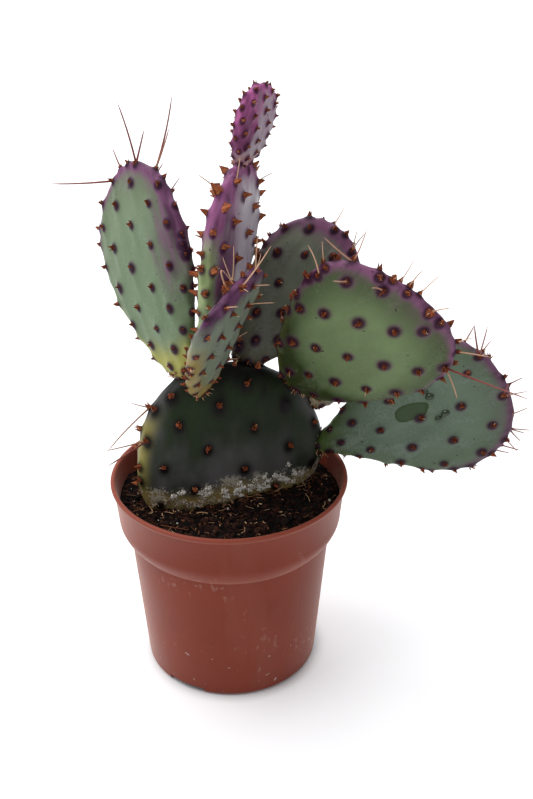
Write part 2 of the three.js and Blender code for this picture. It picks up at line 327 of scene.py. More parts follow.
bm = bmesh.new()
for bearing in SLOT_BEARINGS:
    turn = Matrix.Rotation(math.radians(bearing), 4, "Z")
    place = turn @ Matrix.Translation((BASE_RADIUS * MM, 0, 0))
    size = Matrix.Diagonal((SLOT_DEPTH * 2 * MM, SLOT_WIDTH * MM, SLOT_HEIGHT * 2 * MM, 1))
    bmesh.ops.create_cube(bm, size=1, matrix=place @ size)
slots = scene_object("slots", mesh_from(bm, "slots"))
cutting = pot.modifiers.new("slots", "BOOLEAN")
cutting.operation = "DIFFERENCE"
cutting.object = slots
cutting.solver = "EXACT"
with_slots = pot.evaluated_get(bpy.context.evaluated_depsgraph_get())
pot_mesh = bpy.data.meshes.new_from_object(with_slots)
pot.modifiers.clear()
pot.data = pot_mesh
bpy.data.objects.remove(slots)
pot_mesh.set_sharp_from_angle(angle=math.radians(35))

# ---- The soil ---------------------------------------------------------------------------------
# Dark peat and composted bark, poured in and pressed to about a centimetre below the lip. Its
# surface is loose: crumbs, bark chips, fibres and white perlite grains lie on it.
SOIL_TOP = 96.0
SOIL_RELIEF = 1.3
SOIL_GAP = 0.3
SOIL_CORNER = 3.0
SOIL_RINGS = 46
SOIL_SIDES = 160
DIP_PLACE = (-27, -9)
DIP_RADIUS = 22
DIP_DEPTH = 4.6
# Two sizes of lumps: how fine they are, which layer of the noise they are, and their height.
SOIL_LUMPS = ((0.33, 3, 1.1), (0.9, 9, 0.8))
PEAT = ((0.0012, 0.0004, 0.0003), (0.016, 0.005, 0.003))
soil_dice = random.Random(7)
soil_radius = BAND_BOTTOM[0] + (BAND_TOP[0] - BAND_BOTTOM[0]) / 2 - WALL - SOIL_GAP


def soil_height(x, y):
    """The height of the soil at a place, in millimetres: waves, lumps of two sizes and a dip."""
    waves = math.sin(x / 9 + 1.3) * math.cos(y / 8 - 0.6) + 0.5 * math.sin(x / 3.7 + y / 4.9)
    lumps = sum(noise.noise(Vector((x, y, layer)) * scale) * high for scale, layer, high in SOIL_LUMPS)
    away = math.hypot(x - DIP_PLACE[0], y - DIP_PLACE[1]) / DIP_RADIUS
    return SOIL_TOP + SOIL_RELIEF * waves + lumps - DIP_DEPTH * math.exp(-away * away / 2)


soil_line = [(0, POT_FLOOR + SOIL_GAP), (BASE_RADIUS - WALL - SOIL_CORNER, POT_FLOOR + SOIL_GAP)]
soil_line += side_of_pot(WALL + SOIL_GAP)[EDGE_STEPS:]
soil_line += [(soil_radius * (1 - ring / SOIL_RINGS), SOIL_TOP) for ring in range(SOIL_RINGS + 1)]
soil_mesh = spun("soil", soil_line, SOIL_SIDES)
for vert in soil_mesh.vertices:
    if vert.co.z > (SOIL_TOP - 0.01) * MM:
        vert.co.z = soil_height(vert.co.x / MM, vert.co.y / MM) * MM

soil_finish = Finish("peat")
spot = soil_finish.place()
clod = soil_finish.between(soil_finish.noise(spot, 420, 5), 0.45, 0.66)
fine = soil_finish.noise(spot, 1500, 3)
earth = soil_finish.mix(clod, *PEAT)
soil_finish.matt(earth, roughness=0.95, gloss=0.15)
soil_finish.bump(clod + fine * 0.5, 0.0012)
finished("soil_body", soil_mesh, soil_finish, "soil")

# ---- The pads' shape --------------------------------------------------------------------------
# Each pad is a flattened stem, narrow at its neck and full at its rim. Its areoles, the spots
# that tufts and spines grow from, follow a spiral round it, each on a low swelling that runs
# down into a soft rib.
#
# In PADS, base is the middle of a pad's neck, and azimuth, elevation and roll turn it. taper
# widens it upwards, cup and bow bend it and square fills its corners. areoles counts those on
# the spiral, which begins at start and goes on by turn, and rim those added along the rim. bump,
# rib and fold are heights on the skin, halo is a dark ring's radius, and a low soft blurs it.
# tuft scales the tufts and large names the largest. tan tints them, straw is the share that has
# a pale bristle, and redness tints the spines. A spine has its areole's number and its reach
# across, along and out of the pad, and a curl has these and its rise. cuts is how finely the
# skin is meshed. Sizes are in millimetres and turns in degrees.
PLAIN_PAD = dict(
    cup=0, bow=0, square=0, cuts=7, rib=0, fold=0, soft=4, large=(), spines=(), curls=(),
)
PADS = {
    "pad_base": dict(
        base=(-3.8, 4.3, 71.5), azimuth=90, elevation=87.5, roll=17.7,
        length=93.4, width=97, thickness=28, taper=-0.1, bow=4.9, square=0.03,
        areoles=56, turn=-137.85, start=72, rim=12, bump=0.8,
        halo=2.8, soft=2.2, tuft=1.15, tan=0.25, straw=0.3, redness=0.75,
        spines=[
            (43, -25, -12, 17), (35, -22, 4, 12), (43, -10, 5, 2), (48, -8, 9, 8), (35, -22, -5, 11),
        ],
    ),
    "pad_left": dict(
        base=(-21.1, 1.3, 159.2), azimuth=122.5, elevation=63, roll=-36.3,
        length=107.3, width=56.2, thickness=14, taper=0.33, cup=-0.75, bow=-4.1, square=-0.03,
        areoles=72, turn=-137.65, start=321, rim=22, bump=0.95, rib=0.6, fold=0.3,
        halo=1.8, tuft=0.85, tan=0.1, straw=0.0, redness=0.85,
        spines=[(70, 13, 26, 14), (70, 15, 12, 4), (67, 14, 31, -9), (67, 10, 17, -6), (68, -22, 6, 20)],
    ),
    "pad_middle": dict(
        base=(-7.6, 8.1, 163.7), azimuth=32, elevation=79.6, roll=67,
        length=100.5, width=49.3, thickness=15, taper=0.27, cup=0.3, bow=-0.4,
        areoles=74, turn=137.2, start=342, rim=16, bump=1.2, rib=0.9, fold=0.5,
        halo=1.8, tuft=1.3, tan=0.6, straw=0.2, redness=0.3,
        large=(65, 60), spines=[(65, -10, 7, -7), (66, 2, 6, 7), (68, -7, 13, 3), (73, -5, 13, 0)],
    ),
    "pad_top": dict(
        base=(6.4, 17.1, 259.4), azimuth=26.4, elevation=70, roll=62.3,
        length=39.3, width=30.7, thickness=10, taper=0.37, cuts=6,
        areoles=60, turn=-137.05, start=129, rim=12, bump=1.1, rib=0.45, fold=0.25,
        halo=1.4, tuft=0.68, tan=0.15, straw=0.1, redness=0.3,
    ),
    "pad_front": dict(
        base=(-12.1, -6.3, 156.6), azimuth=-56.3, elevation=62.5, roll=65.7,
        length=75.4, width=47.3, thickness=11, taper=0.45, cup=0.9, bow=-1.7, square=0.08,
        areoles=60, turn=136.25, start=234, rim=26, bump=0.9, rib=0.2, fold=0.12,
        halo=1.75, tuft=0.85, tan=0.2, straw=0.25, redness=0.3,
        spines=[
            (47, 6, 19, -8), (59, 4, 26, 5), (57, 2, 16, -5), (54, 1, 5, 7), (41, 4, 7, 14),
            (57, 2, 9, -1), (46, 2, 8, 11), (56, -2, 7, 6), (25, 2, 5, 3), (17, 1, 3, 5),
        ],
        large=(58, 59), curls=[(58, (2, 4, 0.5), (0, 6, -6)), (32, (-1, 2, 2), (-2, 1, 1))],
    ),
    "pad_back": dict(
        base=(4.9, 15.9, 159.6), azimuth=26, elevation=48.9, roll=-22,
        length=84.2, width=46.4, thickness=13, taper=0.39, bow=-0.6, square=0.03,
        areoles=60, turn=-138.05, start=81, rim=24, bump=1.0, rib=0.3, fold=0.2,
        halo=2.1, tuft=1.0, tan=0.0, straw=0.1, redness=0.4,
        spines=[(55, -3, 9, 10), (55, 1, 10, 10)],
    ),
    "pad_right": dict(
        base=(32.7, 14.1, 148.3), azimuth=-50, elevation=45.6, roll=-5.3,
        length=105, width=71.4, thickness=14, taper=0.39, cup=-1.7, bow=3, square=0.05,
        areoles=63, turn=-139.4, start=279, rim=30, bump=0.85, rib=0.15, fold=0.12,
        halo=2.5, tuft=1.0, tan=0.1, straw=0.25, redness=0.35,
        spines=[
            (49, -14, 18, 6), (57, -17, 5, 3), (57, -4, 12, -9), (54, -8, 8, 12), (59, -8, 9, 11),
            (48, 30.5, 24.8, 9.5), (48, 8, 6, 16), (61, 2, 16, 6), (53, 11, 12, 2),
        ],
        large=(62, 61),
    ),
    "pad_low_right": dict(
        base=(42.2, 16.2, 111.2), azimuth=-2.2, elevation=19.2, roll=-17.3,
        length=105.2, width=61.4, thickness=13, taper=0.7, cup=0.24, bow=-5.3, square=-0.05,
        areoles=65, turn=138.25, start=69, rim=34, bump=0.95, rib=0.2, fold=0.15,
        halo=1.85, tuft=0.95, tan=0.0, straw=0.6, redness=0.8,
        spines=[
            (59, -18, 2, 14), (62, -7, 4, 8), (62, 1.2, 12, -0.9), (60, 7, 4, 3), (59, -15, 8, 9),
            (84, -1, 8.5, 0), (85, 5, 7, -2), (85, 9, 4, -3),
        ],
    ),
    "pad_behind": dict(
        base=(40.3, 18.4, 135.4), azimuth=40, elevation=48, roll=0,
        length=46, width=32, thickness=9, taper=0.26, cuts=6,
        areoles=44, turn=137.5, start=0, rim=10, bump=0.8, rib=0.3, fold=0.2,
        halo=1.4, tuft=0.75, tan=0.3, straw=0.2, redness=0.4,
    ),
}
FULLNESS = 0.75
NECK_SHARE = 0.14
# The rim's areoles go this many degrees down each side, keep a little off the middle of the rim,
# by turns to the front and the back, and keep some room from those of the spiral.
RIM_REACH = 118
RIM_JITTER = 7
RIM_ASIDE = 0.14
RIM_ROOM = 4.2
# A swelling is a hill with a tail below it, each so wide and so long, and both are smaller on a
# small pad. The skin is sunk between them. WAVE is a height, and a length each way.
SMALL_PAD = (0.45, 110)
HILL = (2.6, 3.0)
TAIL = (2.3, 10)
TAIL_BELOW = 7
# The dark ring round an areole is its own purple, but it sits below the areole by this share of its
# radius, where the tuft's shade falls: that offset is painted shade.
RING_SHADE_BELOW = 0.25
SUNK = (0.35, 0.4)
WAVE = (0.35, 7, 11)
FOLD_EVERY = (2.6, 14)


def draw(seed):
    """A number from 0 to 1 that is fixed by its seed."""
    value = math.sin(seed * 12.9898) * 43758.5453
    return value - math.floor(value)


def growing(pad):
    """The pad's own frame: x across its face, y along it, z out of its face; millimetres."""
    azimuth, elevation, roll = (math.radians(pad[key]) for key in ("azimuth", "elevation", "roll"))
    along = Vector((
        math.cos(elevation) * math.cos(azimuth),
        math.cos(elevation) * math.sin(azimuth),
        math.sin(elevation),
    ))
    toward = Vector((0, -1, 0))
    toward = (toward - toward.dot(along) * along).normalized()
    out = toward * math.cos(roll) + along.cross(toward) * math.sin(roll)
    turn = Matrix((along.cross(out), along, out)).transposed().to_4x4()
    return Matrix.Translation(pad["base"]) @ turn


def on_pad(pad, ball):
    """Points of a unit ball, one in each row, carried onto the pad's skin."""
    x, y, z = ball.T
    fill = 1 + pad["square"] * (2 * x * y) ** 2 / np.maximum(x * x + y * y, 1e-9)
    along = y * fill
    bend = 1 - along * along
    half_width = pad["width"] / 2 * (1 + pad["taper"] * along)
    half_thickness = pad["thickness"] / 2
    return np.stack([
        half_width * x * fill + pad["bow"] * bend,
        pad["length"] / 2 * (1 + along),
        half_thickness * np.sign(z) * np.abs(z) ** FULLNESS - pad["cup"] * bend,
    ], axis=1)


def in_pad(pad, place, grow):
    """Whether a place, in millimetres, lies in the pad or its neck, swollen by grow."""
    neck = NECK_SHARE * pad["width"] + grow
    if pad is not PADS["pad_base"] and (place - Vector(pad["base"])).length < neck:
        return True
    local = pad["frame"].inverted() @ place
    along = (local.y - pad["length"] / 2) / (pad["length"] / 2 + grow)
    bend = 1 - along * along
    x = (local.x - pad["bow"] * bend) / (pad["width"] / 2 * (1 + pad["taper"] * along) + grow)
    z = abs(local.z + pad["cup"] * bend) / (pad["thickness"] / 2 + grow)
    return abs(along) < 1 and x * x + along * along + z ** (2 / FULLNESS) < 1


def areole_ball(pad, number):
    """Where an areole stands on the unit ball: in the spiral, or after it on the rim."""
    if number < pad["areoles"]:
        along = (2 * number + 1) / pad["areoles"] - 1
        round_it = math.sqrt(1 - along * along)
        angle = math.radians(pad["start"] + pad["turn"] * number)
        return Vector((round_it * math.sin(angle), along, round_it * math.cos(angle)))
    step = number - pad["areoles"]
    evenly = RIM_REACH * ((2 * step + 1) / pad["rim"] - 1)
    angle = math.radians(evenly + RIM_JITTER * (2 * draw(number) - 1))
    aside = RIM_ASIDE if step % 2 else -RIM_ASIDE
    return Vector((math.sin(angle), math.cos(angle), aside)).normalized()


def areoles_of(pad):
    """The pad's areoles: number, point on the ball, root on the skin and outward way."""
    found = []
    for number in range(pad["areoles"] + pad["rim"]):
        ball = areole_ball(pad, number)
        root = Vector(on_pad(pad, np.array([ball]))[0])
        close = any((root - other["root"]).length <= RIM_ROOM for other in found[:pad["areoles"]])
        if number >= pad["areoles"] and close:
            continue
        outward = Vector((ball.x / pad["width"], ball.y / pad["length"], ball.z / pad["thickness"]))
        found.append(dict(number=number, ball=ball, root=root, outward=outward.normalized()))
    return found


for name, own in PADS.items():
    pad = PADS[name] = PLAIN_PAD | own
    pad["frame"] = growing(pad)
    pad["grown"] = areoles_of(pad)


def swelling(pad, skin):
    """How far each skin point is raised, and how near it is to an areole (0 far, 1 at it)."""
    raised = np.zeros(len(skin))
    near = np.zeros(len(skin))
    small = min(1.0, SMALL_PAD[0] + pad["width"] / SMALL_PAD[1])
    for areole in pad["grown"]:
        gap = skin - np.array(areole["root"])
        along = gap[:, 1]
        across = np.sqrt(np.maximum((gap ** 2).sum(1) - along ** 2, 0))
        hill = np.exp(-(across / (HILL[0] * small)) ** 2 - (along / (HILL[1] * small)) ** 2)
        below = along + TAIL_BELOW * small
        tail = np.exp(-(across / (TAIL[0] * small)) ** 2 - (below / (TAIL[1] * small)) ** 2)
        raised = np.maximum(raised, pad["bump"] * hill) + pad["rib"] * tail
        # The ring sits a little below the areole, where the tuft's painted shade falls.
        away = np.sqrt(across ** 2 + (along * 0.8 + pad["halo"] * RING_SHADE_BELOW) ** 2)
        size = pad["halo"] * (0.8 + 0.4 * draw(areole["number"] * 3.1 + pad["start"]))
        near = np.maximum(near, 1 / (1 + (away / size) ** pad["soft"]))
    # The skin between the areoles sinks a little, so the pad keeps its size on the whole.
    return raised - SUNK[0] - SUNK[1] * pad["rib"], near


def write_attribute(mesh, name, values):
    """One number for each corner point of the mesh, for its material to read."""
    mesh.attributes.new(name, "FLOAT", "POINT").data.foreach_set("value", values)


def grow_skin(name, pad):
    """The pad's skin as a mesh, with its swellings, waves and folds, and attributes for colour."""
    bm = bmesh.new()
    bmesh.ops.create_icosphere(bm, subdivisions=pad["cuts"], radius=1)
    mesh = mesh_from(bm, name)
    ball = np.empty(len(mesh.vertices) * 3)
    mesh.vertices.foreach_get("co", ball)
    ball = ball.reshape(-1, 3)
    skin = on_pad(pad, ball)
    raised, near = swelling(pad, skin)
    phase = pad["start"]
    x, y = skin.T[:2]
    raised += WAVE[0] * np.sin(x / WAVE[1] + phase) * np.cos(y / WAVE[2] + phase / 2)
    fold = pad["fold"] * np.sin(x / FOLD_EVERY[0] + y / FOLD_EVERY[1] + phase)
    raised += fold * np.clip(1 - abs(ball[:, 1]), 0, 1)
    outward = ball / np.array([pad["width"], pad["length"], pad["thickness"]])
    outward /= np.linalg.norm(outward, axis=1)[:, None]
    skin = skin + outward * raised[:, None]
    turn = np.array(pad["frame"])
    world = skin @ turn[:3, :3].T + turn[:3, 3]
    mesh.vertices.foreach_set("co", (world * MM).ravel())
    mesh.shade_smooth()
    write_attribute(mesh, "near", near)
    for key, values in (("across", ball[:, 0]), ("along", ball[:, 1]), ("face", ball[:, 2])):
        write_attribute(mesh, key, values)
    write_attribute(mesh, "above_soil", (world[:, 2] - SOIL_TOP) * MM)
    local = mesh.attributes.new("local", "FLOAT_VECTOR", "POINT")
    local.data.foreach_set("vector", (skin * MM).ravel())
    mesh.update()
    return mesh


# ---- The pads' skin ---------------------------------------------------------------------------
# A tough waxy skin: grey-green under a pale bloom, dark purple in a ring round each areole and
# flushed purple along the sunny rims, and yellow-green where a pad is young or shaded.
CORK = (0.34, 0.25, 0.075)
DUST_AND_SHEEN_GREY = (0.155, 0.146, 0.152)
LIME = (0.5, 0.46, 0.38)
DEEP_FLUSH = 0.38
WET_GREEN = (0.03, 0.055, 0.014)
WET_MIDDLE = (-6.5, 55.5)
WET_HALF = (5.2, 9.5)
# In LOOKS, face and shade are the skin's own colours, back that of its far side, foot a darker one
# for its lower end and turned rims, young that of its young parts, bloom that of its wax, flush that
# of its sunny parts and ring that of its areoles. The foot colour is partly the skin's own tone low
# down and partly painted shade, where other pads and the pot hide the lower end and where the rim
# turns away from the light. The depths, edge_young, dust, rim, tip and glow say how far they are
# laid on, and the widths how far in from the rim. The signs of side and young_side say on which side
# of the pad. A pair says where something begins and where it is full, from -1 to 1 across or up the
# pad. A low grain makes the bloom cloudy.
PLAIN_LOOK = dict(
    back=(0.2, 0.2, 0.16), back_depth=0.0,
    foot=(0.05, 0.06, 0.02), foot_tone_and_shade_depth=0.0, rim_shade_depth=0.0,
    young=(0.1, 0.13, 0.03), edge_young=0.3, young_width=0.3, young_down=(0.3, -0.3), young_side=0,
    rim=1.0, rim_width=0.28, rim_down=(-0.1, 0.5), tip=0.3,
    side=0.0, side_from=(0.4, 0.9), side_down=(-0.35, 0.3), glow=0.4,
    ring_depth=0.97, dust=0.25, grain=1.0, gloss=0.14,
)
LOOKS = {
    # The base pad's flush is near black, so its top is painted dark: partly its own purple-brown and
    # partly painted shade under the pads above it. Its bloom, laid on thickly in broad patches, is its
    # wax and partly a painted sheen.
    "pad_base": dict(
        slot="old_pad", face=(0.02, 0.034, 0.013), shade=(0.012, 0.019, 0.009),
        young=(0.25, 0.22, 0.06), flush=(0.006, 0.007, 0.004), ring=(0.006, 0.003, 0.004),
        bloom=(0.036, 0.048, 0.028), foot=(0.006, 0.008, 0.005), rim_shade_depth=0.2, rim=0.0,
        tip=1.2, edge_young=1.0, young_side=-1, young_down=(0.7, 0.3), glow=0.08, dust=0.6, grain=0.15,
        gloss=0.12,
    ),
    "pad_left": dict(
        slot="green_pad", face=(0.195, 0.255, 0.165), shade=(0.15, 0.215, 0.122),
        young=(0.37, 0.36, 0.09), flush=(0.19, 0.07, 0.155), ring=(0.03, 0.008, 0.024),
        bloom=(0.34, 0.4, 0.33), foot=(0.07, 0.1, 0.03), rim_shade_depth=0.35,
        rim_width=0.25, tip=0.35, side=1.0, side_from=(0.25, 0.95), edge_young=1.0,
        young_width=0.36, young_side=-1, young_down=(0.2, -0.5), glow=0.35,
    ),
    "pad_middle": dict(
        slot="purple_pad", face=(0.56, 0.52, 0.56), shade=(0.4, 0.32, 0.4),
        young=(0.3, 0.38, 0.17), flush=(0.3, 0.1, 0.23), ring=(0.05, 0.01, 0.034),
        bloom=(0.62, 0.61, 0.64), rim=0.4, tip=0.9, side=-1.5,
        side_from=(0.0, 0.9), side_down=(-0.75, -0.1), edge_young=1.0, young_width=0.6,
        young_down=(0.7, 0.05), ring_depth=0.9, glow=0.3, back_depth=0.75,
    ),
    "pad_top": dict(
        slot="purple_pad", face=(0.4, 0.34, 0.37), shade=(0.33, 0.22, 0.3),
        young=(0.4, 0.2, 0.2), flush=(0.4, 0.1, 0.27), ring=(0.05, 0.007, 0.028),
        bloom=(0.48, 0.46, 0.46), rim=0.3, tip=0.5, side=-1.6,
        side_from=(0.1, 0.9), side_down=(-0.9, -0.5), edge_young=0.0, glow=0.6, back_depth=0.6,
    ),
    "pad_front": dict(
        slot="green_pad", face=(0.18, 0.225, 0.16), shade=(0.14, 0.165, 0.115),
        young=(0.27, 0.2, 0.06), flush=(0.12, 0.04, 0.1), ring=(0.03, 0.006, 0.02),
        bloom=(0.33, 0.35, 0.32), foot=(0.2, 0.145, 0.05), foot_tone_and_shade_depth=0.3, rim=1.2, tip=1.0,
        rim_width=0.4, rim_down=(0.3, 0.85), edge_young=1.0, young_width=0.85,
        young_down=(0.7, 0.0), glow=0.25,
    ),
    # Its lower end is painted dark: painted shade behind the pads in front of it.
    "pad_back": dict(
        slot="green_pad", face=(0.165, 0.18, 0.13), shade=(0.11, 0.12, 0.088),
        young=(0.09, 0.07, 0.035), flush=(0.17, 0.065, 0.13), ring=(0.02, 0.004, 0.014),
        bloom=(0.27, 0.28, 0.26), foot=(0.03, 0.022, 0.014), foot_tone_and_shade_depth=0.7, rim=1.3,
        rim_width=0.42, tip=0.6, glow=0.45,
    ),
    # Its lower left end and its rims are painted dark: painted shade where the base pad and the pot hide
    # it and where it curves away.
    "pad_right": dict(
        slot="green_pad", face=(0.165, 0.235, 0.105), shade=(0.125, 0.175, 0.078),
        young=(0.09, 0.1, 0.012), flush=(0.22, 0.085, 0.17), ring=(0.028, 0.004, 0.017),
        bloom=(0.22, 0.28, 0.16), foot=(0.03, 0.042, 0.012), foot_tone_and_shade_depth=1.5,
        rim_shade_depth=0.75, edge_young=0.7, rim_width=0.16, tip=0.2, glow=0.45,
    ),
    "pad_low_right": dict(
        slot="green_pad", face=(0.145, 0.2, 0.143), shade=(0.1, 0.145, 0.097),
        young=(0.08, 0.14, 0.014), flush=(0.15, 0.07, 0.12), ring=(0.024, 0.006, 0.016),
        bloom=(0.25, 0.3, 0.26), foot=(0.045, 0.07, 0.016), foot_tone_and_shade_depth=0.55,
        rim_shade_depth=0.35, rim_width=0.2, dust=0.4, gloss=0.2,
    ),
    "pad_behind": dict(
        slot="green_pad", face=(0.24, 0.23, 0.17), shade=(0.18, 0.17, 0.13),
        young=(0.24, 0.2, 0.12), flush=(0.14, 0.06, 0.1), ring=(0.03, 0.008, 0.02),
        bloom=(0.36, 0.35, 0.31), foot=(0.1, 0.07, 0.04), foot_tone_and_shade_depth=0.3,
    ),
}


def patterns_of(finish):
    """What the skin's colours follow: places on the pad, and noises from broad to fine."""
    local = finish.attribute("local", "Vector")
    face = finish.attribute("face")
    patch = finish.noise(local, 38, 3, (1, 0.6, 1)) - 0.5
    mottle = finish.noise(local, 130, 4, (1, 0.5, 1)) - 0.5
    return SimpleNamespace(
        local=local, face=face, patch=patch, mottle=mottle,
        flat=face * face,
        along=finish.attribute("along"),
        across=finish.attribute("across"),
        near=finish.attribute("near"),
        blotch=finish.between(patch + mottle * 0.5, -0.16, 0.2),
        streak=finish.noise(local, 260, 3, (1, 0.14, 1)) - 0.5,
        speck=finish.between(finish.noise(local, 330, 1), 0.755, 0.775),
        fine=finish.noise(local, 800, 2) - 0.5,
    )


def fresh_parts(finish, at, look):
    """Where the skin is young: at the foot, unless that is dark, and low on one rim or on both."""
    foot = finish.between(at.along + at.patch * 0.5, -0.45, -0.98) * max(0, 1 - look["foot_tone_and_shade_depth"])
    low_rim = finish.between(at.flat + at.patch * 0.1, look["young_width"], 0.0)
    low_rim = low_rim * finish.between(at.along, *look["young_down"])
    if look["young_side"]:
        low_rim = low_rim * finish.between(at.across * look["young_side"], 0.0, 0.4)
    return finish.between(foot + low_rim * look["edge_young"], 0, 1)


def flushed_parts(finish, at, look, fresh):
    """Where the sun has flushed the skin: the rim, the tip, perhaps a side, and round areoles."""
    rim = finish.between(at.flat + at.patch * 0.3 + at.streak * 0.1, look["rim_width"], -0.03)
    rim = rim * finish.between(at.along + at.patch * 0.6, *look["rim_down"])
    tip = finish.between(at.along + at.patch * 0.4 + at.streak * 0.3, 0.6, 1.0)
    sunny = rim * look["rim"] + tip * look["tip"]
    if look["side"]:
        side = at.across * look["side"] + at.patch * 0.6 + at.streak * 0.35
        side = finish.between(side, *look["side_from"])
        sunny = sunny + side * finish.between(at.along + at.patch, *look["side_down"]) * (1 - fresh)
    return sunny * (1 + at.streak * 0.8) + finish.between(at.near, 0.03, 0.5) * look["glow"]


def living_skin(finish, at, look, fresh):
    """The skin's own colour, its far side, a darker foot and rims (partly painted shade), then its young
    parts, its bloom of wax, its flush and its specks.
    """
    colour = finish.mix(at.blotch, look["face"], look["shade"])
    away = finish.between(at.face + at.patch * 0.5, 0.0, -0.4) * look["back_depth"]
    colour = finish.mix(away, colour, look["back"])
    # Darker towards the lower end and where the rim turns away: partly the skin's own tone low down,
    # partly painted shade.
    down = finish.between(at.along + at.across * 0.2 + at.patch * 0.4, -0.1, -1.0)
    turned = finish.between(at.flat + at.patch * 0.5, 0.8, 0.1)
    lower_and_rim_darkening = down * look["foot_tone_and_shade_depth"] + turned * look["rim_shade_depth"]
    colour = finish.mix(lower_and_rim_darkening, colour, look["foot"])
    colour = finish.mix(fresh, colour, look["young"])
    powder = (at.mottle + at.fine * 0.5) * look["grain"] + at.patch * (1.4 - look["grain"])
    colour = finish.mix(finish.between(powder, -0.04, 0.3) * look["dust"], colour, look["bloom"])
    deep = tuple(part * DEEP_FLUSH for part in look["flush"])
    pale = finish.between(at.streak + at.patch * 0.6 + at.along * 0.25, -0.1, 0.3)
    purple = finish.mix(pale, deep, look["flush"])
    colour = finish.mix(flushed_parts(finish, at, look, fresh), colour, purple)
    return finish.mix(at.speck * 0.7, colour, look["ring"])


def weathered(finish, at, colour, fresh):
    """The base pad's old skin: greyed by dust low down, paler to the lower left, with a painted sheen
    on its upper shoulders, cork at the soil line and lime on that.
    """
    above = finish.attribute("above_soil") - at.mottle * 0.01 - at.patch * 0.01 - 0.005
    # The upper shoulders are painted grey-light: a painted sheen, where the rim catches the bright
    # surroundings.
    shoulder_sheen = finish.between(at.across * at.across + at.along * 0.5 + at.patch * 0.6, 0.62, 1.1)
    shoulder_sheen = shoulder_sheen * finish.between(at.along, 0.0, 0.4) * (1 - fresh)
    low_down = finish.between(above, 0.032, 0.006) * finish.between(at.flat, 0.1, 0.45)
    low_down = low_down * finish.between(at.patch, -0.2, 0.1)
    # Paler towards the lower left.
    paler_lower_left = finish.between(at.patch * 1.5 + at.mottle - at.across * 0.6 - at.along * 0.4, 0.0, 0.8)
    greying_and_sheen = shoulder_sheen * 0.8 + low_down * 0.6 + paler_lower_left * (1 - fresh) * 0.18
    colour = finish.mix(greying_and_sheen, colour, DUST_AND_SHEEN_GREY)
    colour = finish.mix(finish.between(above, 0.005, -0.002) * 0.85, colour, CORK)
    band = finish.between(above, 0.007, 0.003) * finish.between(above, -0.009, -0.003)
    lime = band * finish.between(at.mottle + at.fine * 1.2, -0.02, 0.1)
    return finish.mix(lime * 0.9, colour, LIME)


def wet_parts(finish, at):
    """The low right pad's wet patch, and its shore, where the water stands thickest."""
    x, y = finish.parts(at.local)[:2]
    wide = (x - WET_MIDDLE[0] * MM) * (1 / WET_HALF[0] / MM)
    long = (y - WET_MIDDLE[1] * MM) * (1 / WET_HALF[1] / MM)
    spread = wide * wide + long * long + at.patch * 3.0 + at.mottle * 1.6
    wet = finish.between(spread, 1.0, 0.9) * finish.between(at.face, 0.0, 0.1)
    return wet, wet * finish.between(spread, 0.5, 0.9)


def skin_finish(name, look):
    finish = Finish(name + "_skin")
    at = patterns_of(finish)
    fresh = fresh_parts(finish, at, look)
    colour = living_skin(finish, at, look, fresh)
    shine = 0.0
    if name == "pad_base":
        colour = weathered(finish, at, colour, fresh)
    if name == "pad_low_right":
        wet, shore = wet_parts(finish, at)
        colour = finish.mix(wet * 0.8 + shore * 0.15, colour, WET_GREEN)
        shine = wet * 0.2
    ring = finish.between(at.near + at.fine * 0.12, 0.08, 0.8)
    colour = finish.mix(ring * look["ring_depth"], colour, look["ring"])
    finish.set({
        "Base Color": colour,
        "Roughness": at.blotch * 0.1 + at.mottle * 0.12 + 0.42,
        "Specular IOR Level": look["gloss"],
        "Coat Weight": shine,
        "Coat Roughness": 0.15,
    })
    finish.bump(at.fine * 0.35 + at.mottle, 0.0003)
    return finish


for name, pad in PADS.items():
    look = LOOKS[name] = PLAIN_LOOK | LOOKS[name]
    finished(name + "_skin", grow_skin(name, pad), skin_finish(name, look), name)

# ---- The tufts --------------------------------------------------------------------------------
# Every areole holds a pointed tuft of barbed bristles a few millimetres long, dark rust at the
# foot and more orange at the tip, which stand in a little pad of wool.
#
# BRISTLE and STRAW_BRISTLE are radii at the foot and at the tip, in millimetres. CLOSING is how
# far a bristle leans in over the tuft, as a share of the tuft's radius.
TUFT_RADIUS = 1.4
TUFT_HEIGHT = 2.9
TUFT_LEAN = 0.25
TUFT_CLEAR = 0.8
LARGE = 1.45
WOOL = 0.8
BRISTLES = 12
BRISTLE = (0.58, 0.12)
BRISTLE_FOOT = 0.75
CLOSING = 0.6
STRAY_CLOSING = -0.4
STRAYS = 0.12
STRAW_BRISTLE = (0.32, 0.14)
STRAW_TINT = 2
RUST = ((0.1, 0.014, 0.006), (0.46, 0.14, 0.05))
RUST_TIP = (0.5, 0.1, 0.03)
RUST_GRIT = (0.03, 0.005, 0.003)
STRAW = (0.7, 0.48, 0.28)


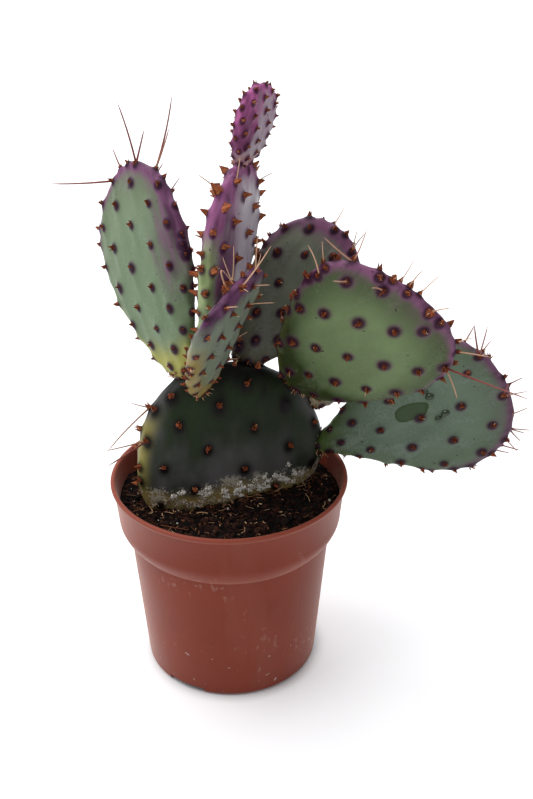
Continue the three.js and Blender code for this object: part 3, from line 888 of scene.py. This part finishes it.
class Heap:
    """Many small shapes in one mesh, in millimetres, each with a tint and a run from foot to tip."""

    def __init__(self):
        self.bm = bmesh.new()
        self.tint = self.bm.verts.layers.float.new("tint")
        self.run = self.bm.verts.layers.float.new("run")

    def mark(self, verts, tint, runs):
        for vert, run in zip(verts, runs):
            vert[self.tint] = tint
            vert[self.run] = run

    def lump(self, place, size, dice, tint, wobble=0.3):
        """A crumb: a small rough ball, squashed to size."""
        turn = Matrix.Rotation(dice.uniform(0, 6.28), 4, Vector((dice.random(), 1, dice.random())))
        matrix = Matrix.Translation(place) @ turn @ Matrix.Diagonal((*size, 1))
        made = bmesh.ops.create_icosphere(self.bm, subdivisions=1, radius=1, matrix=matrix)
        for vert in made["verts"]:
            vert.co += (vert.co - place) * dice.uniform(-wobble, wobble)
        self.mark(made["verts"], tint, [0.5] * len(made["verts"]))

    def spike(self, root, reach, radii, sides, tint, cuts=0, bend=(0, 0, 0), point=1.0):
        """A tapered spike from the root to its point, carried aside by bend halfway."""
        length = reach.length
        turn = reach.to_track_quat("Z", "Y").to_matrix().to_4x4()
        before = len(self.bm.verts)
        made = bmesh.ops.create_cone(
            self.bm, cap_ends=True, segments=sides, radius1=radii[0], radius2=radii[1],
            depth=length, matrix=Matrix.Translation((0, 0, length / 2)),
        )
        verts = made["verts"]
        if cuts:
            edges = {edge for vert in verts for edge in vert.link_edges}
            long = [edge for edge in edges if edge.calc_length() > length / 2]
            bmesh.ops.subdivide_edges(self.bm, edges=long, cuts=cuts)
            self.bm.verts.ensure_lookup_table()
            verts = self.bm.verts[before:]
        runs = [vert.co.z / length for vert in verts]
        for vert, run in zip(verts, runs):
            if run > 0.99:
                vert.co.xy *= point
            vert.co = root + turn @ vert.co + Vector(bend) * (run * (1 - run) * 4)
        self.mark(verts, tint, runs)

    def mesh(self, name, smooth=False):
        bmesh.ops.scale(self.bm, vec=(MM, MM, MM), verts=self.bm.verts)
        for face in self.bm.faces:
            face.smooth = smooth
        return mesh_from(self.bm, name)


def any_way(dice):
    """A random vector, up to one either way along each axis."""
    return Vector([dice.uniform(-1, 1) for axis in range(3)])


def clear_of_others(pad, root, reach, room):
    """Whether a stretch from the root, in the pad's frame, keeps that much room from the rest."""
    for step in (0.25, 0.5, 0.75, 1.0):
        place = pad["frame"] @ (root + reach * step)
        over_pot = math.hypot(place.x, place.y) < LIP_RADIUS + 1
        if over_pot and place.z < SOIL_TOP + room:
            return False
        if any(in_pad(other, place, room) for other in PADS.values() if other is not pad):
            return False
    return True


def grow_tuft(heap, pad, areole, way, height):
    """One tuft: its wool, its bristles, which close to a point but for strays, and a straw one."""
    dice = random.Random(areole["number"] * 31 + pad["start"])
    # Tufts are smaller towards the neck, and shorter along the rim.
    size = pad["tuft"] * (LARGE if areole["number"] in pad["large"] else 1)
    size *= min(1.0, 1.15 + 0.6 * areole["ball"].y)
    height *= size * (0.8 + 0.2 * abs(way.z))
    foot = pad["frame"] @ (areole["root"] + areole["outward"] * 0.3)
    out = pad["frame"].to_3x3() @ way
    radius = TUFT_RADIUS * size * dice.uniform(0.85, 1.15)
    heap.lump(foot, Vector((WOOL, WOOL, WOOL)) * radius, dice, pad["tan"], wobble=0.2)
    for bristle in range(BRISTLES):
        lean = any_way(dice)
        lean -= lean.dot(out) * out
        closing = STRAY_CLOSING if dice.random() < STRAYS else CLOSING
        start = foot + lean * radius * BRISTLE_FOOT
        reach = out * height * dice.uniform(0.7, 1.1) - lean * radius * closing
        tint = pad["tan"] + 0.7 * dice.random() ** 2
        heap.spike(start, reach, (BRISTLE[0] * size, BRISTLE[1] * size), 3, tint=tint)
    # The straw-coloured bristle leans to the side where the last of the others stands.
    if dice.random() < pad["straw"]:
        reach = (out + lean * 0.7).normalized() * height * dice.uniform(0.9, 1.5)
        heap.spike(foot, reach, STRAW_BRISTLE, 4, tint=STRAW_TINT)


def grow_tufts(name, pad):
    heap = Heap()
    for areole in pad["grown"]:
        way = (areole["outward"] + Vector((0, TUFT_LEAN, 0))).normalized()
        height = TUFT_HEIGHT * (0.85 + 0.3 * draw(areole["number"] + pad["start"]))
        if clear_of_others(pad, areole["root"], way * height, TUFT_CLEAR):
            grow_tuft(heap, pad, areole, way, height)
    return heap.mesh(name + "_tufts")


tuft_finish = Finish("bristles")
tint = tuft_finish.attribute("tint")
tip = tuft_finish.between(tuft_finish.attribute("run"), 0.5, 1.0)
grit = tuft_finish.between(tuft_finish.noise(tuft_finish.place(), 2500, 2), 0.45, 0.65)
rust = tuft_finish.mix(tint, *RUST)
rust = tuft_finish.mix(tip * 0.4, rust, RUST_TIP)
rust = tuft_finish.mix(grit * 0.6, rust, RUST_GRIT)
rust = tuft_finish.mix(tuft_finish.between(tint, 1.4, 1.8), rust, STRAW)
tuft_finish.matt(rust, roughness=0.6, gloss=0.2)
for name, pad in PADS.items():
    finished(name + "_tufts", grow_tufts(name, pad), tuft_finish, name)

# ---- The spines -------------------------------------------------------------------------------
# Long stiff needles stand at some of the areoles, most of them on the rims: red-brown on the left
# and lower pads and wherever one is very long, straw coloured on the others, thick as a pin at
# the root and fine at the tip.
#
# SPINE is the radii of a long one at the foot and near the tip, in millimetres. SPINE_POINT
# narrows the very end.
SPINE = (0.58, 0.3)
SPINE_POINT = 0.35
SPINE_SIDES = 6
SPINE_SUNK = 1.2
SPINE_BEND = 0.03
SPINE_CLEAR = 4.6
SHORT_SPINE = 0.55
FULL_THICKNESS_AT = 50
STRAW_SPINE = 0.58
RED_FROM = 38
LONG_REDNESS = 0.6
BEHIND = 0.2
# On the far side, a share of the areoles near the tip of each pad but the small ones have one.
RIM_ABOVE = 0.62
RIM_SHARE = 0.35
RIM_LENGTH = (8, 14)
RIM_LEAST_WIDTH = 35
NEEDLE = ((0.6, 0.36, 0.22), (0.2, 0.034, 0.024))
NEEDLE_TIP = (0.6, 0.36, 0.25)


def spines_of(pad):
    """The pad's spines as root and reach: those listed, then those by rule."""
    found = [(areole_ball(pad, number), Vector(reach)) for number, *reach in pad["spines"]]
    found = [(Vector(on_pad(pad, np.array([ball]))[0]), reach) for ball, reach in found]
    for areole in pad["grown"]:
        number, root, outward = areole["number"], areole["root"], areole["outward"]
        hidden = (pad["frame"].to_3x3() @ outward).y > BEHIND
        upper = areole["ball"].y > RIM_ABOVE and pad["width"] > RIM_LEAST_WIDTH
        if upper and hidden and draw(number * 1.7 + pad["start"]) < RIM_SHARE:
            spread = RIM_LENGTH[1] - RIM_LENGTH[0]
            length = RIM_LENGTH[0] + spread * draw(number * 2.3 + pad["start"])
            way = outward + Vector((root.x / pad["width"], 0.8, 0))
            found.append((root, way.normalized() * length))
    return [spine for spine in found if clear_of_others(pad, *spine, SPINE_CLEAR)]


def grow_spines(pad):
    heap = Heap()
    dice = random.Random(pad["areoles"] + pad["start"])
    turn = pad["frame"].to_3x3()
    for root, reach in spines_of(pad):
        sunk = reach.normalized() * SPINE_SUNK
        whole = turn @ (reach + sunk)
        bend = any_way(dice)
        bend = (bend.project(whole) - bend) * whole.length * SPINE_BEND
        tint = pad["redness"] + dice.uniform(-0.2, 0.2)
        tint += LONG_REDNESS if whole.length > RED_FROM else 0
        # Short spines are thinner than long ones, and straw-coloured ones than red ones.
        thick = min(1.0, SHORT_SPINE + whole.length / FULL_THICKNESS_AT)
        thick *= STRAW_SPINE + (1 - STRAW_SPINE) * min(tint, 1.0)
        heap.spike(
            pad["frame"] @ (root - sunk), whole, (SPINE[0] * thick, SPINE[1] * thick), SPINE_SIDES,
            cuts=6, bend=bend, tint=tint, point=SPINE_POINT,
        )
    for number, reach, rise in pad["curls"]:
        root = Vector(on_pad(pad, np.array([areole_ball(pad, number)]))[0])
        heap.spike(
            pad["frame"] @ root, turn @ Vector(reach), SPINE, SPINE_SIDES,
            cuts=9, bend=turn @ Vector(rise), tint=pad["redness"] + 0.2,
        )
    return heap


spine_finish = Finish("needles")
red = spine_finish.between(spine_finish.attribute("tint"), 0.2, 1.0)
tip = spine_finish.between(spine_finish.attribute("run"), 0.35, 1.0)
needle = spine_finish.mix(red, *NEEDLE)
needle = spine_finish.mix(tip * (0.35 - red * 0.2), needle, NEEDLE_TIP)
spine_finish.matt(needle, roughness=0.45, gloss=0.3)
for name, pad in PADS.items():
    heap = grow_spines(pad)
    if heap.bm.verts:
        mesh = heap.mesh(name + "_spines", smooth=True)
        finished(name + "_spines", mesh, spine_finish, name)

# ---- What lies on the soil --------------------------------------------------------------------
# Peat crumbs, splinters of bark, curled fibres and a few white perlite grains, pressed lightly
# into the surface, the bark thickest round the base pad, with one dry spine that has dropped off.
CRUMBS = 2400
CHIPS = 620
FIBRES = 700
GRAINS = 26
CRUMB_SIZE = (0.45, 2.55)
CHIP_SIZE = (0.35, 1.3)
GRAIN_SIZE = (0.35, 1.1)
FIBRE_RADIUS = (0.1, 0.26)
FIBRE_LENGTH = (1.2, 6.2)
BESIDE_SHARE = 0.35
BESIDE_PAD = 7.0
PAD_GAP = 0.2
WALL_GAP = 1.5
DROPPED_SPINE = dict(place=(-33, -28.5), above=1.2, reach=(14, -5, 0.6), radius=0.3)
CRUMB_BROWNS = ((0.0015, 0.0006, 0.0005), (0.055, 0.016, 0.008))
BARK_BROWNS = ((0.025, 0.006, 0.003), (0.36, 0.13, 0.055))
PALE_FIBRE = (0.72, 0.45, 0.25)
PERLITE = ((0.3, 0.25, 0.2), (0.75, 0.72, 0.66))


def soil_spots(count, above, beside=0.0):
    """Places over the soil, clear of the base pad, a share of them only just beside it."""
    found = []
    while len(found) < count:
        radius = (soil_radius - WALL_GAP) * math.sqrt(soil_dice.random())
        bearing = soil_dice.uniform(0, 2 * math.pi)
        x, y = radius * math.cos(bearing), radius * math.sin(bearing)
        place = Vector((x, y, soil_height(x, y) + above))
        anywhere = len(found) >= count * beside
        if anywhere or in_pad(PADS["pad_base"], place, BESIDE_PAD):
            if not in_pad(PADS["pad_base"], place, PAD_GAP):
                found.append(place)
    return found


crumbs = Heap()
for place in soil_spots(CRUMBS, above=-0.1):
    size = CRUMB_SIZE[0] + (CRUMB_SIZE[1] - CRUMB_SIZE[0]) * soil_dice.random() ** 3
    shape = (size, size * soil_dice.uniform(0.6, 1), size * soil_dice.uniform(0.5, 0.9))
    crumbs.lump(place, shape, soil_dice, tint=soil_dice.random())
crumb_finish = Finish("peat_crumbs")
tint = crumb_finish.attribute("tint")
grit = crumb_finish.noise(crumb_finish.place(), 900, 3)
peat = crumb_finish.mix(tint * tint * grit * 1.5, *CRUMB_BROWNS)
crumb_finish.matt(peat, roughness=0.9, gloss=0.2)
finished("soil_crumbs", crumbs.mesh("soil_crumbs"), crumb_finish, "soil")

litter = Heap()
for place in soil_spots(CHIPS, above=0.3, beside=BESIDE_SHARE):
    size = soil_dice.uniform(*CHIP_SIZE)
    shape = (size, size * soil_dice.uniform(0.25, 0.5), size * 0.25)
    litter.lump(place, shape, soil_dice, tint=soil_dice.random())
for place in soil_spots(FIBRES, above=0.5, beside=BESIDE_SHARE):
    bearing = soil_dice.uniform(0, 2 * math.pi)
    way = Vector((math.cos(bearing), math.sin(bearing), soil_dice.uniform(-0.1, 0.35)))
    length = FIBRE_LENGTH[0] + (FIBRE_LENGTH[1] - FIBRE_LENGTH[0]) * soil_dice.random() ** 2
    bend = Vector((way.y, -way.x, -0.5)) * soil_dice.uniform(-0.8, 0.8)
    thick = soil_dice.uniform(*FIBRE_RADIUS)
    litter.spike(
        place, way * length, (thick, thick / 2), 4, cuts=4, bend=bend, tint=soil_dice.random(),
    )
x, y = DROPPED_SPINE["place"]
litter.spike(
    Vector((x, y, soil_height(x, y) + DROPPED_SPINE["above"])), Vector(DROPPED_SPINE["reach"]),
    (DROPPED_SPINE["radius"], DROPPED_SPINE["radius"] / 2), SPINE_SIDES, cuts=4, tint=0.6,
)
litter_finish = Finish("bark_litter")
tint = litter_finish.attribute("tint")
bark = litter_finish.mix(tint * tint, *BARK_BROWNS)
bark = litter_finish.mix(litter_finish.between(tint, 0.7, 1.0), bark, PALE_FIBRE)
litter_finish.matt(bark, roughness=0.85, gloss=0.2)
finished("soil_litter", litter.mesh("soil_litter"), litter_finish, "soil")

grains = Heap()
for place in soil_spots(GRAINS, above=0.0):
    size = soil_dice.uniform(*GRAIN_SIZE)
    grains.lump(place, (size, size * 0.8, size * 0.6), soil_dice, tint=1, wobble=0.25)
grain_finish = Finish("perlite")
chalk = grain_finish.mix(grain_finish.noise(grain_finish.place(), 1800, 2), *PERLITE)
grain_finish.matt(chalk, roughness=0.9, gloss=0.2)
finished("soil_grains", grains.mesh("soil_grains"), grain_finish, "soil")

# ---- The crust along the soil line ------------------------------------------------------------
# Lime from the water has dried in pale flakes on the base pad, just above the soil, over a corky
# brown band. The flakes sit in patches along the pad's face, and in like ones along its back.
CRUST_CLUMPS = 15
CLUMP_SPREAD = (0.55, 0.27)
FLAKES = 17
FLAKE_SPREAD = (0.016, 0.7)
FLAKE_SIZE = (0.25, 0.85)
CRUST_WHITES = ((0.26, 0.16, 0.06), (0.9, 0.88, 0.82))
# Each patch has its middle and half width across the pad, from -1 to 1, and the heights that it
# lies between, in millimetres above the soil.
CRUST_PATCHES = (
    (-0.60, 0.07, 3, 9), (-0.31, 0.08, 2, 9), (-0.05, 0.12, 0, 8), (0.21, 0.19, 0, 9),
    (0.55, 0.14, 3, 11), (-0.35, 0.35, -4, 2),
)


def lay_clump(crust, dice, side, middle, height, low):
    """A clump of flakes on one side of the base pad, browner in a patch that lies low."""
    pad = PADS["pad_base"]
    for flake in range(FLAKES):
        across = side * dice.gauss(middle, FLAKE_SPREAD[0])
        above = dice.gauss(height, FLAKE_SPREAD[1])
        along = (SOIL_TOP + above - pad["base"][2]) * 2 / pad["length"] - 1
        if along * along + across * across > 0.97:
            continue
        face = side * math.sqrt(1 - along * along - across * across)
        place = pad["frame"] @ Vector(on_pad(pad, np.array([[across, along, face]]))[0])
        size = FLAKE_SIZE[0] + (FLAKE_SIZE[1] - FLAKE_SIZE[0]) * dice.random() ** 2
        shape = (size, size * dice.uniform(0.4, 1), size * 0.7)
        tint = dice.random() * 0.5 if low < 0 else dice.uniform(0.4, 1.3)
        crust.lump(place, shape, dice, tint, wobble=0.45)


crust = Heap()
crust_dice = random.Random(5)
for middle, half_width, low, high in CRUST_PATCHES:
    for clump in range(round(CRUST_CLUMPS * half_width * (high - low))):
        side = 1 if clump % 5 < 3 else -1
        clump_middle = crust_dice.gauss(middle, half_width * CLUMP_SPREAD[0])
        clump_height = crust_dice.gauss((low + high) / 2, (high - low) * CLUMP_SPREAD[1])
        lay_clump(crust, crust_dice, side, clump_middle, clump_height, low)
crust_finish = Finish("lime_crust")
flakes = crust_finish.mix(crust_finish.attribute("tint"), *CRUST_WHITES)
crust_finish.matt(flakes, roughness=0.95, gloss=0.15)
finished("pad_base_crust", crust.mesh("pad_base_crust"), crust_finish, "pad_base")

# ---- The scars where pads join ----------------------------------------------------------------
# Round each neck, where a pad budded out of its parent, the skin has gone to brown cork with
# short pale fibres standing in it.
CORK_LUMPS = 44
CORK_FIBRES = 20
CORK_SIZE = (0.45, 1.15)
CORK_FIBRE = (0.2, 0.1)
CORK_FIBRE_LENGTH = (1.5, 3.5)
SCAR_ALONG = (0.005, 0.05)


def grow_scar(pad):
    scar = Heap()
    dice = random.Random(pad["areoles"] * 7 + pad["start"])
    turn = pad["frame"].to_3x3()
    for bit in range(CORK_LUMPS + CORK_FIBRES):
        angle = dice.uniform(0, 2 * math.pi)
        along = dice.uniform(*SCAR_ALONG) * 2 - 1
        out = Vector((math.sin(angle), 0, math.cos(angle)))
        ball = out * math.sqrt(1 - along * along) + Vector((0, along, 0))
        place = pad["frame"] @ Vector(on_pad(pad, np.array([ball]))[0])
        size = dice.uniform(*CORK_SIZE)
        if bit < CORK_LUMPS:
            scar.lump(place, (size, size, size * 0.8), dice, tint=dice.random() * 0.6)
        else:
            way = turn @ (out + Vector((0, dice.uniform(-0.2, 0.5), 0)))
            bend = turn @ Vector((0, dice.uniform(0.7, -0.7), 0))
            reach = way * dice.uniform(*CORK_FIBRE_LENGTH)
            scar.spike(place, reach, CORK_FIBRE, 4, cuts=4, bend=bend, tint=1)
    return scar


for name, pad in PADS.items():
    if name != "pad_base":
        mesh = grow_scar(pad).mesh(name + "_scar")
        finished(name + "_scar", mesh, litter_finish, name)

# ---- The drops on the low right pad -----------------------------------------------------------
# Five drops of clear water, left from a watering. They stand on the wax of the pad's face beside
# its wet patch. Each has its place, from -1 to 1 across and up the pad, and its radius.
DROPS = ((-0.17, 0.26, 1.9), (-0.25, 0.24, 1.1), (0.16, 0.28, 1.5), (0.1, 0.36, 1.9), (0.13, 0.33, 1.0))
DROP_SHAPE = (0.8, 1.2, 0.6)
DROP_LIFT = 0.3
bm = bmesh.new()
wet_pad = PADS["pad_low_right"]
for across, along, radius in DROPS:
    ball = np.array([[across, along, math.sqrt(1 - across * across - along * along)]])
    place = Vector(on_pad(wet_pad, ball)[0]) + Vector((0, 0, DROP_LIFT))
    shape = Matrix.Diagonal((*(radius * part for part in DROP_SHAPE), 1))
    matrix = wet_pad["frame"] @ Matrix.Translation(place) @ shape
    bmesh.ops.create_icosphere(bm, subdivisions=3, radius=1, matrix=matrix)
bmesh.ops.scale(bm, vec=(MM, MM, MM), verts=bm.verts)
drop_mesh = mesh_from(bm, "drops")
drop_mesh.shade_smooth()
drop_finish = Finish("water")
drop_finish.set({
    "Base Color": (0.02, 0.035, 0.014, 1),
    "Roughness": 0.1,
    "Specular IOR Level": 0.35,
    "Coat Weight": 0.4,
    "Coat Roughness": 0.02,
})
finished("pad_low_right_drops", drop_mesh, drop_finish, "pad_low_right")
